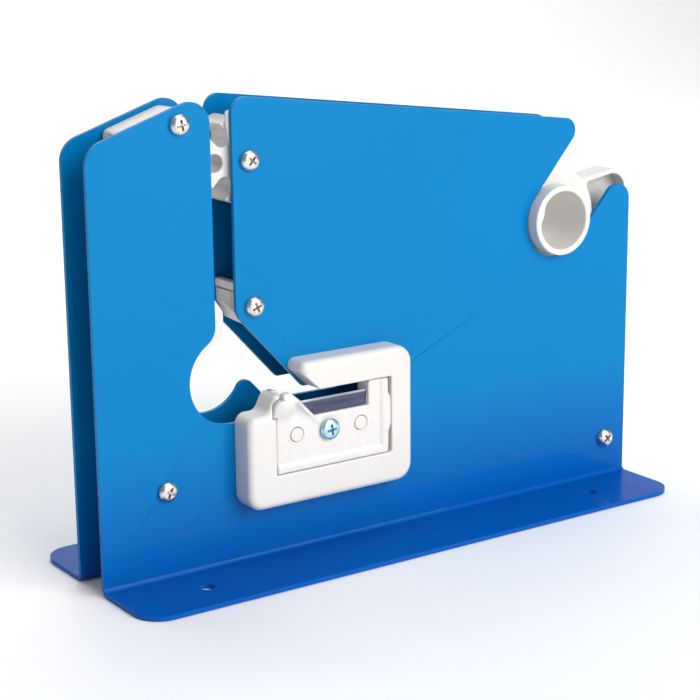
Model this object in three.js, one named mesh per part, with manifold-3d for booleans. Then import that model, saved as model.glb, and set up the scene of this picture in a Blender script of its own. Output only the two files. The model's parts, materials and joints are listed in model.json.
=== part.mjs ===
// Bag neck tape sealer with a neck trimmer. Millimetres, +Z up, front towards -Y.
// X is measured from the left end of the plates and centred by the last lines.
import * as THREE from 'three';
import { mergeVertices } from 'three/addons/utils/BufferGeometryUtils.js';
import Module from 'manifold-3d';

const wasm = await Module();
wasm.setup();

// ---- driving dimensions ----
const LENGTH = 216;          // side plate
const SHEET = 1.5;           // steel thickness
const GAP = 14.5;            // between the plates' inner faces
const FLANGE = 28.5;         // foot flange, from the plate's outer face
const FOOT_RADIUS = 9.5;
const BEND_RADIUS = 1.5;     // inside of the fold
const INNER = GAP / 2;
const OUTER = INNER + SHEET;

const TOP_SLOPE = 0.1236;    // fall of the top edge towards the tape end
const SLOT = { left: 42.4, right: 50.1 };
const BRANCH_SLOPE = Math.tan(THREE.MathUtils.degToRad(47.5));
const BRANCH_END = { x: 74.4, z: 56.1 };       // upper edge of the branch, where the blade slot starts
const BRANCH_LOWER = { x: 68.8, z: 51.0 };     // a point on its lower edge
const BLADE_SLOT = { right: 100, low: 48.5 };

const ARM_PIVOT = { x: 31.6, z: 144.1 };
const WHEEL_AXIS = { x: 56.0, z: 131.3 };
const KNIFE_PIVOT = { x: 56.6, z: 84.9 };
const SPACER_LEFT = { x: 23.3, z: 30.0 };
const SPACER_RIGHT = { x: 206.4, z: 15.5 };
const HUB_AXIS = { x: 181.4, z: 99.8 };
const NOTCH_ANGLE = THREE.MathUtils.degToRad(49);
const NOTCH_EXTRA = 1.0;     // room to the right of the tube in its notch

const SCREW = { shank: 1.75, length: 6.5, head: 3.4, height: 2.3 };
const POST = { radius: 3.0, bore: 1.85 };
const WHEEL = { tip: 14.2, pocketAt: 10.5, pocket: 2.8, count: 8, half: 5.9, bore: 3.25 };
const GUIDE_SHEET = 1.0;
const MOULDING_HALF = 6.8;   // half width of the mouldings between the plates

const TUBE = { radius: 12.4, bore: 10.2, half: 13.2, collar: 18.5 };
const CORE = { tip: 37.6, wall: 1.7, barrel: 17.5, proud: 0.5, web: [1.0, 2.4] };

const TRIM_BACK = -OUTER - 0.05;
const TRIM_FRONT = -17.6;
const TRIM_FLOOR = TRIM_BACK - 2.0;
const INSERT_FRONT = TRIM_FRONT + 0.2;
const BLADE = { left: 62.5, right: 94.4, low: 42.5, edge: 53.4, back: -15.4, thick: 0.6 };
const TRIM_SCREW = { x: 79.0, z: 42.8 };
const PEGS = [{ x: 66.6, z: 42.9 }, { x: 91.5, z: 42.7 }];
const FIXINGS = [{ name: 'left', x: 53.4, z: 34 }, { name: 'right', x: 108, z: 45 }];

// ---- materials ----
const enamel = new THREE.MeshStandardMaterial({ color: 0x0a8ad0, roughness: 0.25, metalness: 0.1 });
const whitePlastic = new THREE.MeshStandardMaterial({ color: 0xf4f1ec, roughness: 0.35, metalness: 0 });
const zinc = new THREE.MeshStandardMaterial({ color: 0xd8d4cf, roughness: 0.3, metalness: 0.9 });
const bladeSteel = new THREE.MeshStandardMaterial({ color: 0x6f6d80, roughness: 0.35, metalness: 0.85 });
const springSteel = new THREE.MeshStandardMaterial({ color: 0x9a9a9a, roughness: 0.35, metalness: 0.9 });

// ---- outlines ----
// A closed shape through corners [x, z, radius]; each corner is rounded to its radius.
function rounded(corners) {
  const shape = new THREE.Shape();
  const count = corners.length;
  for (let i = 0; i < count; i += 1) {
    const [px, pz] = corners[(i + count - 1) % count];
    const [x, z, radius = 0] = corners[i];
    const [nx, nz] = corners[(i + 1) % count];
    const toPrevious = new THREE.Vector2(px - x, pz - z).normalize();
    const toNext = new THREE.Vector2(nx - x, nz - z).normalize();
    const corner = new THREE.Vector2(x, z);
    const half = Math.acos(THREE.MathUtils.clamp(toPrevious.dot(toNext), -1, 1)) / 2;
    const reach = radius > 0 ? radius / Math.tan(half) : 0;
    const start = corner.clone().addScaledVector(toPrevious, reach);
    if (i === 0) shape.moveTo(start.x, start.y);
    else shape.lineTo(start.x, start.y);
    if (radius > 0) {
      const end = corner.clone().addScaledVector(toNext, reach);
      const middle = toPrevious.clone().add(toNext).normalize();
      const centre = corner.clone().addScaledVector(middle, radius / Math.sin(half));
      const from = Math.atan2(start.y - centre.y, start.x - centre.x);
      const to = Math.atan2(end.y - centre.y, end.x - centre.x);
      shape.absarc(centre.x, centre.y, radius, from, to, toPrevious.cross(toNext) > 0);
    }
  }
  shape.closePath();
  return shape;
}

function disc(radius, at = { x: 0, z: 0 }) {
  const shape = new THREE.Shape();
  shape.absarc(at.x, at.z, radius, 0, 2 * Math.PI, false);
  return shape;
}

// ---- solids ----
function extruded(shape, depth, curveSegments) {
  return new THREE.ExtrudeGeometry(shape, { depth, bevelEnabled: false, curveSegments });
}

// An outline in the XZ plane between two depths.
function slab(shape, yFrom, yTo, curveSegments = 10) {
  const geometry = extruded(shape, yTo - yFrom, curveSegments);
  geometry.rotateX(Math.PI / 2);
  geometry.translate(0, yTo, 0);
  return geometry;
}

// An outline in the XY plane between two heights.
function sheet(shape, zFrom, zTo, curveSegments = 10) {
  const geometry = extruded(shape, zTo - zFrom, curveSegments);
  geometry.translate(0, 0, zFrom);
  return geometry;
}

// An outline in the YZ plane between two places along X.
function bar(shape, xFrom, xTo, curveSegments = 8) {
  const geometry = extruded(shape, xTo - xFrom, curveSegments);
  const turn = new THREE.Matrix4().makeBasis(
    new THREE.Vector3(0, 1, 0), new THREE.Vector3(0, 0, 1), new THREE.Vector3(1, 0, 0));
  geometry.applyMatrix4(turn);
  geometry.translate(xFrom, 0, 0);
  return geometry;
}

// A round rod along Y.
function rod(radius, at, yFrom, yTo, segments = 32) {
  const geometry = new THREE.CylinderGeometry(radius, radius, yTo - yFrom, segments);
  geometry.translate(at.x, (yFrom + yTo) / 2, at.z);
  return geometry;
}

function box(xFrom, xTo, yFrom, yTo, zFrom, zTo) {
  const geometry = new THREE.BoxGeometry(xTo - xFrom, yTo - yFrom, zTo - zFrom);
  geometry.translate((xFrom + xTo) / 2, (yFrom + yTo) / 2, (zFrom + zTo) / 2);
  return geometry;
}

// ---- cutting and joining ----
function solid(geometry) {
  const bare = geometry.clone();
  bare.deleteAttribute('normal');
  bare.deleteAttribute('uv');
  const welded = mergeVertices(bare, 1e-4);
  return new wasm.Manifold(new wasm.Mesh({
    numProp: 3,
    vertProperties: new Float32Array(welded.attributes.position.array),
    triVerts: new Uint32Array(welded.index.array),
  }));
}

function geometryOf(manifold) {
  const mesh = manifold.getMesh();
  const geometry = new THREE.BufferGeometry();
  const corners = new Float32Array(mesh.vertProperties);
  geometry.setAttribute('position', new THREE.BufferAttribute(corners, 3));
  geometry.setIndex(new THREE.BufferAttribute(new Uint32Array(mesh.triVerts), 1));
  geometry.computeVertexNormals();
  return geometry;
}

function join(...pieces) {
  return geometryOf(pieces.map(solid).reduce((whole, piece) => whole.add(piece)));
}

function cut(base, ...tools) {
  return geometryOf(tools.map(solid).reduce((rest, tool) => rest.subtract(tool), solid(base)));
}

const machine = new THREE.Group();

function add(name, geometry, material) {
  const mesh = new THREE.Mesh(geometry, material);
  mesh.name = name;
  machine.add(mesh);
}

// ---- side plates ----
// Height of the branch's edges at a given x.
const upperEdge = (x) => BRANCH_END.z - BRANCH_SLOPE * (x - BRANCH_END.x);
const lowerEdge = (x) => BRANCH_LOWER.z - BRANCH_SLOPE * (x - BRANCH_LOWER.x);
const topEdge = (x) => 151.0 - TOP_SLOPE * (x - 55);
const wingTop = (x) => 139.2 + 0.335 * x;

function plateOutline() {
  const fold = SHEET + BEND_RADIUS;
  const along = new THREE.Vector2(Math.cos(NOTCH_ANGLE), Math.sin(NOTCH_ANGLE));
  const across = new THREE.Vector2(along.y, -along.x);
  const room = TUBE.radius + 0.25;
  const notchRadius = room + NOTCH_EXTRA / 2;
  const axis = new THREE.Vector2(HUB_AXIS.x, HUB_AXIS.z);
  const leftWall = axis.clone().addScaledVector(across, -room);
  const rightWall = axis.clone().addScaledVector(across, room + NOTCH_EXTRA);
  const bottomLeft = leftWall.clone().addScaledVector(along, -notchRadius);
  const bottomRight = rightWall.clone().addScaledVector(along, -notchRadius);
  const slope = Math.tan(NOTCH_ANGLE);
  const lipX = (topEdge(0) - leftWall.y + slope * leftWall.x) / (slope + TOP_SLOPE);
  const earTop = rightWall.y + slope * (LENGTH - rightWall.x);
  const lobeSlope = Math.tan(THREE.MathUtils.degToRad(57));
  const peakX = 61.8;
  const slotFloorX = BRANCH_LOWER.x + (BRANCH_LOWER.z - BLADE_SLOT.low) / BRANCH_SLOPE;
  return rounded([
    [0, fold],
    [LENGTH, fold],
    [LENGTH, earTop, 5.6],
    [bottomRight.x, bottomRight.y, notchRadius - 0.01],
    [bottomLeft.x, bottomLeft.y, notchRadius - 0.01],
    [lipX, topEdge(lipX), 4.5],
    [SLOT.right, topEdge(SLOT.right), 5],
    [SLOT.right, upperEdge(SLOT.right), 8],
    [BRANCH_END.x, BRANCH_END.z, 0.8],
    [BLADE_SLOT.right, BRANCH_END.z, 2.5],
    [BLADE_SLOT.right, BLADE_SLOT.low, 2.5],
    [slotFloorX, BLADE_SLOT.low, 1],
    [peakX, lowerEdge(peakX), 3.2],
    [peakX - (lowerEdge(peakX) - 48) / lobeSlope, 48, 14.5],
    [32.6, 48, 14.5],
    [32.6, 70, 14.5],
    [SLOT.left, 77, 6.6],
    [SLOT.left, wingTop(SLOT.left), 7],
    [0, wingTop(0), 8],
  ]);
}

function sidePlate(side, extraHoles = []) {
  const fold = SHEET + BEND_RADIUS;
  const web = slab(plateOutline(), side > 0 ? INNER : -OUTER, side > 0 ? OUTER : -INNER, 9);
  const foldStart = OUTER + BEND_RADIUS;
  const edge = OUTER + FLANGE;
  const foot = sheet(rounded([
    [0, side * (foldStart - 0.5)],
    [LENGTH, side * (foldStart - 0.5)],
    [LENGTH, side * edge, FOOT_RADIUS],
    [0, side * edge, FOOT_RADIUS],
  ]), 0, SHEET);
  const bend = bar(rounded([
    [side * INNER, 0, fold],
    [side * (foldStart + 0.6), 0],
    [side * (foldStart + 0.6), SHEET],
    [side * OUTER, SHEET, BEND_RADIUS],
    [side * OUTER, fold + 0.6],
    [side * INNER, fold + 0.6],
  ]), 0, LENGTH);
  const lowWeb = solid(join(web, bend)).add(solid(foot));
  const throughY = [side * OUTER - 1.9, side * OUTER + 1.9];
  const screwHoles = [ARM_PIVOT, WHEEL_AXIS, KNIFE_PIVOT, SPACER_LEFT, SPACER_RIGHT]
    .map((at) => rod(2.1, at, throughY[0], throughY[1], 24));
  const footHoles = [28.5, LENGTH - 28.5].map((x) => {
    const hole = new THREE.CylinderGeometry(2.6, 2.6, 6, 24);
    hole.rotateX(Math.PI / 2);
    hole.translate(x, side * (OUTER + 14), 0);
    return hole;
  });
  const holes = [...screwHoles, ...footHoles, ...extraHoles];
  return geometryOf(holes.map(solid).reduce((rest, hole) => rest.subtract(hole), lowWeb));
}

const trimmerHoles = [
  rod(2.0, TRIM_SCREW, -OUTER - 1, -INNER + 1, 24),
  ...FIXINGS.map((at) => rod(1.6, at, -OUTER - 1, -INNER + 1, 24)),
];
const COIL = 3.4;
const SPRING_HOLE = { x: KNIFE_PIVOT.x + COIL, z: 79.4 };
const springHole = rod(0.8, SPRING_HOLE, INNER - 1, OUTER + 1, 16);
add('front_plate', sidePlate(-1, trimmerHoles), enamel);
add('back_plate', sidePlate(1, [springHole]), enamel);

// ---- posts and screws ----
function post(at, radius, half) {
  return cut(rod(radius, at, -half, half, 24), rod(POST.bore, at, -half - 1, half + 1, 16));
}

add('arm_post', post(ARM_PIVOT, POST.radius, INNER - 0.02), zinc);
add('wheel_post', post(WHEEL_AXIS, POST.radius, INNER - GUIDE_SHEET - 0.04), zinc);
add('knife_post', post(KNIFE_PIVOT, POST.radius, INNER - 0.02), zinc);
add('spacer_left', post(SPACER_LEFT, 4.0, INNER - 0.02), zinc);
add('spacer_right', post(SPACER_RIGHT, 4.0, INNER - 0.02), zinc);

// A pan head screw with a cross recess: bearing face at y = 0, head towards +Y.
function panHead({ shank, length, head, height }) {
  const profile = [
    new THREE.Vector2(0, -length),
    new THREE.Vector2(shank * 0.7, -length),
    new THREE.Vector2(shank, -length + shank * 0.5),
    new THREE.Vector2(shank, 0),
    new THREE.Vector2(head, 0),
  ];
  for (let i = 0; i <= 4; i += 1) {
    const angle = (i / 4) * (Math.PI / 2);
    const flat = head * 0.35;
    const x = flat + (head - flat) * Math.cos(angle);
    profile.push(new THREE.Vector2(x, height * (0.35 + 0.65 * Math.sin(angle))));
  }
  profile.push(new THREE.Vector2(0, height));
  const recess = [0, Math.PI / 2].map((turn) => {
    const wing = box(-head * 0.52, head * 0.52, height - 1.3, height + 1, -head * 0.11, head * 0.11);
    return wing.rotateY(turn + 0.5);
  });
  return cut(new THREE.LatheGeometry(profile, 18), ...recess);
}

const screws = {
  arm: ARM_PIVOT,
  wheel: WHEEL_AXIS,
  knife: KNIFE_PIVOT,
  left: SPACER_LEFT,
  right: SPACER_RIGHT,
};
Object.entries(screws).forEach(([name, at], index) => {
  const front = panHead(SCREW).rotateY(index * 0.7).rotateX(Math.PI);
  add(`screw_front_${name}`, front.translate(at.x, -OUTER - 0.02, at.z), zinc);
  const back = panHead(SCREW).rotateY(index * 0.9 + 0.3);
  add(`screw_back_${name}`, back.translate(at.x, OUTER + 0.02, at.z), zinc);
});

// ---- springs ----
function onCircle(at, radius, angle, y) {
  return new THREE.Vector3(at.x + radius * Math.cos(angle), y, at.z + radius * Math.sin(angle));
}

// A round wire through the given points.
function wire(points, thickness, steps) {
  const section = new THREE.Shape();
  section.absarc(0, 0, thickness / 2, 0, 2 * Math.PI, false);
  const extrudePath = new THREE.CatmullRomCurve3(points, false, 'centripetal');
  return new THREE.ExtrudeGeometry(section, { extrudePath, steps, curveSegments: 3 });
}

// Points of a coil round an axis along Y; negative turns wind clockwise seen from the front.
function coil({ at, radius, turns, yFrom, pitch, startAngle }) {
  const points = [];
  const steps = Math.round(Math.abs(turns) * 20);
  for (let i = 0; i <= steps; i += 1) {
    const angle = startAngle + (turns * 2 * Math.PI * i) / steps;
    points.push(onCircle(at, radius, angle, yFrom + (Math.abs(turns) * pitch * i) / steps));
  }
  return points;
}

// ---- presser arm ----
const ARM_HUB = 4.7;
const armTop = (x) => wingTop(x) - 1.4;

const armOutline = rounded([
  [13.6, armTop(13.6), 2.4],
  [14.0, armTop(14.0) - 5.6, 2.4],
  [23.5, armTop(23.5) - 6.6, 6],
  [28.4, 133.0, 7],
  [33.6, 88.0, 12],
  [32.2, 71.6, 2.2],
  [38.6, 71.0, 3.0],
  [46.6, 77.2, 4.2],
  [46.6, 84.2, 4.2],
  [41.0, 92.2, 6],
  [41.0, 143.0, 9],
  [34.6, armTop(34.6), 5],
]);
const SPRING_PIN = { x: 17.6, z: 139.7, radius: 0.9, half: 6.8 };
const HOOK_ROOM = 1.7;
add('presser_arm', cut(
  slab(armOutline, -MOULDING_HALF, MOULDING_HALF, 12),
  rod(POST.radius + 0.15, ARM_PIVOT, -INNER - 1, INNER + 1, 32),
  box(13, SPRING_PIN.x + 3.2, -HOOK_ROOM, HOOK_ROOM, 134, SPRING_PIN.z + 2.1),
  rod(SPRING_PIN.radius + 0.05, SPRING_PIN, -SPRING_PIN.half - 0.1, SPRING_PIN.half + 0.1, 16),
), whitePlastic);
add('spring_pin', rod(SPRING_PIN.radius, SPRING_PIN, -SPRING_PIN.half, SPRING_PIN.half, 16), zinc);

// The long spring from the arm's left end down to the left spacer: a hook, a close coil, a hook.
function presserSpring() {
  const top = new THREE.Vector2(SPRING_PIN.x, SPRING_PIN.z);
  const low = new THREE.Vector2(SPACER_LEFT.x, SPACER_LEFT.z);
  const down = low.clone().sub(top).normalize();
  const heading = Math.atan2(down.y, down.x);
  const points = [];
  for (let i = 0; i <= 8; i += 1) {
    points.push(onCircle(SPRING_PIN, 1.45, heading - 2.3 + (i / 8) * -3.2, 0));
  }
  const straight = (share) => {
    const place = top.clone().lerp(low, share);
    return new THREE.Vector3(place.x, 0, place.y);
  };
  [0.04, 0.1, 0.3, 0.6, 0.88, 0.93].forEach((share) => points.push(straight(share)));
  for (let i = 0; i <= 10; i += 1) {
    points.push(onCircle(SPACER_LEFT, 4.6, heading + Math.PI + 0.6 + (i / 10) * 4.6, 0));
  }
  const middle = straight(0.48);
  const body = new THREE.CylinderGeometry(2.6, 2.6, 62, 20);
  body.rotateX(Math.PI / 2);
  body.rotateY(Math.PI / 2 + heading - Math.PI);
  body.translate(middle.x, middle.y, middle.z);
  return join(wire(points, 0.7, 90), body);
}

add('presser_spring', presserSpring(), springSteel);

// ---- star wheel ----
function starOutline() {
  const { tip, pocketAt, pocket, count } = WHEEL;
  const shape = new THREE.Shape();
  const halfMouth = Math.asin(pocket / tip);
  const mouth = tip * Math.cos(halfMouth);
  for (let i = 0; i < count; i += 1) {
    const angle = THREE.MathUtils.degToRad(182.5) + (i * 2 * Math.PI) / count;
    const next = angle + (2 * Math.PI) / count;
    const place = (along, across) => new THREE.Vector2(
      WHEEL_AXIS.x + along * Math.cos(angle) - across * Math.sin(angle),
      WHEEL_AXIS.z + along * Math.sin(angle) + across * Math.cos(angle));
    const into = place(mouth, -pocket);
    const wallFoot = place(pocketAt, -pocket);
    const centre = place(pocketAt, 0);
    if (i === 0) shape.moveTo(into.x, into.y);
    shape.lineTo(wallFoot.x, wallFoot.y);
    shape.absarc(centre.x, centre.y, pocket, angle - Math.PI / 2, angle + Math.PI / 2, true);
    const out = place(mouth, pocket);
    shape.lineTo(out.x, out.y);
    shape.absarc(WHEEL_AXIS.x, WHEEL_AXIS.z, tip, angle + halfMouth, next - halfMouth, false);
  }
  return shape;
}

add('star_wheel', cut(
  slab(starOutline(), -WHEEL.half, WHEEL.half, 8),
  rod(WHEEL.bore, WHEEL_AXIS, -INNER, INNER, 32),
), whitePlastic);

const fingerOutline = rounded([
  [WHEEL_AXIS.x - 4.2, WHEEL_AXIS.z, 0.5],
  [WHEEL_AXIS.x + 4.2, WHEEL_AXIS.z, 0.5],
  [54.2, 141.5, 5],
  [51.6, 147.0, 1.0],
  [49.1, 147.0, 1.0],
  [49.1, 142.4, 3],
]);

// The front guide has a finger beside the slot; the back one is a plain washer.
function wheelGuide(yFrom, yTo, finger) {
  const boss = rod(5.2, WHEEL_AXIS, yFrom, yTo, 24);
  const screwHole = rod(2.0, WHEEL_AXIS, yFrom - 1, yTo + 1, 20);
  return cut(finger ? join(slab(finger, yFrom, yTo), boss) : boss, screwHole);
}

const guideFront = wheelGuide(-INNER + 0.02, -INNER + 0.02 + GUIDE_SHEET, fingerOutline);
add('wheel_guide_front', guideFront, whitePlastic);
add('wheel_guide_back', wheelGuide(INNER - 0.02 - GUIDE_SHEET, INNER - 0.02), whitePlastic);

// ---- knife holder ----
const KNIFE = { left: 52.3, right: 57.5, z: 89.5, thick: 0.5, half: 6.0 };
const holderOutline = rounded([
  [51.6, 92.4, 0.6],
  [51.6, 89.95, 0.3],
  [51.9, 89.95],
  [51.9, 82.0, 0.3],
  [53.2, 79.4, 0.8],
  [60.0, 79.2, 4],
  [67.6, 82.0, 2.5],
  [67.6, 85.7, 1.5],
  [54.2, 92.4, 1.5],
]);
function hullCut(corners) {
  return geometryOf(wasm.Manifold.hull(corners));
}

// The height at which the holder's left face turns under: lower towards the front.
const turnUnder = (y) => 83.65 + 0.2132 * y;
function underside(y) {
  const z = turnUnder(y);
  return [[50.45, y, z + 3.0], [54.8, y, z - 6.0], [50.45, y, z - 6.0]];
}

// The finger grip in the holder's left face, under its upper lip: deeper towards the front.
function grip(y, deep) {
  const low = turnUnder(y) + 1.0;
  return [[50.0, y, low - 1.9], [51.9, y, low], [deep, y, low + 1.2], [deep, y, 89.0], [50.0, y, 89.0]];
}

add('knife_holder', cut(
  slab(holderOutline, -MOULDING_HALF, MOULDING_HALF, 12),
  hullCut([...underside(-INNER), ...underside(INNER)]),
  hullCut([...grip(5.9, 51.95), ...grip(-1.4, 52.5)]),
  hullCut([...grip(-1.4, 52.5), ...grip(-6.0, 54.6)]),
  rod(POST.radius + 0.15, KNIFE_PIVOT, -INNER - 1, INNER + 1, 32),
  rod(3.95, KNIFE_PIVOT, 1.6, INNER + 1, 32),
  box(56.6, 61.5, 1.6, INNER + 1, 74.0, 85.5),
  box(56.6, 66.0, 1.6, INNER + 1, 74.0, 81.8),
  box(50.0, KNIFE.right + 0.1, -KNIFE.half - 0.1, KNIFE.half + 0.1, KNIFE.z - 0.3, KNIFE.z + 0.3),
), whitePlastic);

function serratedKnife() {
  const teeth = 8;
  const corners = [[KNIFE.right, KNIFE.half], [KNIFE.right, -KNIFE.half]];
  const step = (2 * KNIFE.half) / teeth;
  for (let i = 0; i < teeth; i += 1) {
    corners.push([KNIFE.left + 1.2, -KNIFE.half + i * step]);
    corners.push([KNIFE.left, -KNIFE.half + (i + 0.5) * step]);
  }
  corners.push([KNIFE.left + 1.2, KNIFE.half]);
  return sheet(rounded(corners), KNIFE.z - KNIFE.thick / 2, KNIFE.z + KNIFE.thick / 2);
}

add('tape_knife', serratedKnife(), bladeSteel);

// The torsion spring behind the knife holder: a leg under the holder, a coil, and a leg
// into the back plate.
function knifeSpring() {
  const first = coil({
    at: KNIFE_PIVOT, radius: COIL, turns: -2.75, yFrom: 2.3, pitch: 1.15, startAngle: -Math.PI / 2,
  });
  const legAt = (reach) => new THREE.Vector3(KNIFE_PIVOT.x + reach, 2.3, KNIFE_PIVOT.z - COIL);
  const leg = [8, 5, 2].map(legAt);
  const { x, z } = SPRING_HOLE;
  const tail = [[x, 5.6, z + 3.2], [x, 5.7, z + 1.4], [x, 6.4, z], [x, OUTER - 0.4, z]];
  return wire([...leg, ...first, ...tail.map((p) => new THREE.Vector3(...p))], 0.6, 88);
}

add('knife_spring', knifeSpring(), springSteel);

// ---- tape core holder ----
const COLLAR = { from: -INNER + 0.3, to: -INNER + 1.8 };
const tubeBody = join(
  rod(TUBE.radius, HUB_AXIS, -TUBE.half, TUBE.half, 44),
  rod(TUBE.collar, HUB_AXIS, COLLAR.from, COLLAR.to, 44),
);
const CLIP = { from: 5.6, to: 6.7, groove: 11.4 };
const grooveRing = cut(
  rod(TUBE.radius + 1, HUB_AXIS, CLIP.from - 0.05, CLIP.to + 0.05, 44),
  rod(CLIP.groove, HUB_AXIS, CLIP.from - 1, CLIP.to + 1, 44),
);
const keyAt = { x: HUB_AXIS.x - 14.6, z: HUB_AXIS.z + 3.9 };
const boreKey = rod(6.0, keyAt, -TUBE.half - 2, TUBE.half + 2, 48);
const tubeBore = cut(rod(TUBE.bore, HUB_AXIS, -TUBE.half - 1, TUBE.half + 1, 44), boreKey);
add('hub_tube', cut(tubeBody, grooveRing, tubeBore), whitePlastic);

function clipRing() {
  const ring = cut(
    rod(15.0, HUB_AXIS, CLIP.from, CLIP.to, 48),
    rod(CLIP.groove + 0.15, HUB_AXIS, CLIP.from - 1, CLIP.to + 1, 48),
  );
  return cut(ring, box(HUB_AXIS.x - 5, HUB_AXIS.x + 5, 0, INNER + 1, HUB_AXIS.z - 20, HUB_AXIS.z));
}

add('hub_clip', clipRing(), springSteel);

// Three tongues round a barrel that stands proud of them; each has a rim round a thin web.
function tongue(inset, from) {
  const upper = (x) => 9.5 + 0.171 * x - inset;
  const lower = (x) => -9.5 + 0.08 * x + inset;
  const right = CORE.tip - inset;
  return rounded([
    [from, lower(from)],
    [right, lower(right), 9 - inset],
    [right, upper(right), 7.5 - inset],
    [from, upper(from)],
  ]);
}

function coreWheel() {
  const front = COLLAR.to + 0.25;
  const back = CLIP.from - 0.25;
  const [webFront, webBack] = CORE.web;
  const around = (shape, yFrom, yTo) => [0, 120, 240].map((degrees) => {
    const geometry = slab(shape, yFrom, yTo, 10);
    geometry.rotateY(-THREE.MathUtils.degToRad(degrees));
    return geometry.translate(HUB_AXIS.x, 0, HUB_AXIS.z);
  });
  const recess = tongue(CORE.wall, CORE.barrel + 0.6);
  const opened = cut(
    join(...around(tongue(0, 0), front + CORE.proud, back - CORE.proud)),
    ...around(recess, front - 1, webFront),
    ...around(recess, webBack, back + 1),
  );
  const barrel = rod(CORE.barrel, HUB_AXIS, front, back, 44);
  const bore = rod(TUBE.radius + 0.15, HUB_AXIS, front - 1, back + 1, 44);
  return cut(join(opened, barrel), bore);
}

add('core_wheel', coreWheel(), whitePlastic);

// ---- trimmer ----
const bodyFrame = rounded([
  [48.4, 19.8, 5],
  [112.4, 19.8, 6],
  [112.4, 66.3, 6],
  [68.7, 66.3, 2.5],
  [68.7, 62.9, 1.5],
  [75.4, 56.6, 0.8],
  [103.7, 56.6, 0.5],
  [103.7, 30.6, 1.0],
  [58.7, 30.6, 0.4],
  [58.7, 49.3],
  [57.3, 49.3],
  [57.7, 56.2, 3.2],
  [60.6, 55.9],
  [60.6, 57.0, 0.4],
  [58.6, 57.2, 2.0],
  [55.6, 51.2, 3],
  [48.4, 51.2, 3.5],
]);
const bodyFloor = rounded([
  [50.4, 22],
  [110.4, 22],
  [110.4, 58],
  [103.6, 58],
  [103.6, 51.3],
  [66.8, 51.3, 1],
  [63.4, 56.8, 1.5],
  [59.4, 56.8, 2],
  [56.4, 50.8, 2],
]);
const pegs = PEGS.map((at) => rod(2.3, at, INSERT_FRONT + 0.1, TRIM_FLOOR + 0.5, 24));
add('trimmer_body', cut(
  join(slab(bodyFrame, TRIM_FRONT, TRIM_BACK, 7), slab(bodyFloor, TRIM_FLOOR, TRIM_BACK, 5), ...pegs),
  rod(1.9, TRIM_SCREW, TRIM_FLOOR - 1, TRIM_BACK + 1, 24),
  ...FIXINGS.map((at) => rod(1.3, at, TRIM_BACK - 6, TRIM_BACK + 1, 20)),
), whitePlastic);

const insertFront = rounded([
  [59.0, 30.9, 0.3],
  [102.3, 30.9, 1.0],
  [102.5, 38.0, 2],
  [103.4, 40.5, 2],
  [103.4, 49.4, 2],
  [102.3, 51.6, 2],
  [102.3, 56.3, 0.4],
  [94.7, 56.3, 1.2],
  [94.7, 48.2],
  [73.4, 48.2],
  [67.8, 54.2, 2.5],
  [63.8, 57.4, 2.2],
  [60.9, 57.4, 1.0],
  [60.9, 55.4],
  [58.1, 55.6, 3.0],
  [57.7, 49.6],
  [59.0, 49.6],
]);
const insertBack = rounded([
  [59.0, 30.9, 0.3],
  [102.3, 30.9, 1.0],
  [102.3, 56.3, 0.4],
  [94.7, 56.3, 1.2],
  [94.7, 51.6],
  [66.8, 51.6, 1],
  [62.8, 55.2, 1],
  [59.0, 52.2, 1.5],
]);
const bladeFront = BLADE.back - BLADE.thick;
const bladeRoom = box(
  BLADE.left - 0.1, BLADE.right + 0.1, bladeFront - 0.05, BLADE.back + 0.05, BLADE.low - 0.1, 60);
add('trimmer_insert', cut(
  join(
    slab(insertFront, INSERT_FRONT, bladeFront - 0.05, 8),
    slab(insertBack, bladeFront - 0.1, TRIM_FLOOR - 0.1, 8),
  ),
  bladeRoom,
  rod(1.9, TRIM_SCREW, TRIM_FRONT - 1, TRIM_FLOOR + 1, 24),
  ...PEGS.map((at) => rod(2.45, at, TRIM_FRONT - 1, TRIM_FLOOR + 1, 24)),
), whitePlastic);

function razorBlade() {
  const back = BLADE.back;
  const front = bladeFront;
  const section = rounded([
    [back, BLADE.low],
    [back, BLADE.edge - 1.8],
    [(front + back) / 2, BLADE.edge],
    [front, BLADE.edge - 1.8],
    [front, BLADE.low],
  ]);
  return cut(
    bar(section, BLADE.left, BLADE.right),
    ...PEGS.map((at) => rod(2.45, at, front - 1, back + 1, 24)),
    rod(2.4, TRIM_SCREW, front - 1, back + 1, 24),
  );
}

add('trimmer_blade', razorBlade(), bladeSteel);
const trimmerScrew = panHead({ shank: 1.75, length: 14.2, head: 3.6, height: 1.6 }).rotateX(Math.PI);
add('trimmer_screw', trimmerScrew.translate(TRIM_SCREW.x, INSERT_FRONT - 0.02, TRIM_SCREW.z), zinc);

const nut = new THREE.CylinderGeometry(3.4, 3.4, 2.4, 6);
nut.translate(TRIM_SCREW.x, -INNER + 1.22, TRIM_SCREW.z);
add('trimmer_nut', cut(nut, rod(1.8, TRIM_SCREW, -INNER - 1, -INNER + 4, 24)), zinc);
FIXINGS.forEach((at) => {
  const fixing = panHead({ shank: 1.25, length: 7.2, head: 2.7, height: 1.7 });
  add(`trimmer_fixing_screw_${at.name}`, fixing.translate(at.x, -INNER + 0.02, at.z), zinc);
});

// The origin is under the middle of the whole machine's box.
const overall = new THREE.Box3().setFromObject(machine);
const middle = (overall.min.x + overall.max.x) / 2;
machine.traverse((node) => {
  if (node.isMesh) node.geometry.translate(-middle, 0, 0);
});

export default machine;
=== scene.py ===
"""Bag neck tape sealer with a neck trimmer: its looks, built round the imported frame.

The helpers take millimetres, with x from the left end of the side plates, y from the middle
plane between them and z from the bench. place() turns such a point into the frame's metres.
"""
import json
import math

import bmesh
import bpy
import numpy as np
from mathutils import Matrix, Vector
from mathutils.geometry import delaunay_2d_cdt


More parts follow.
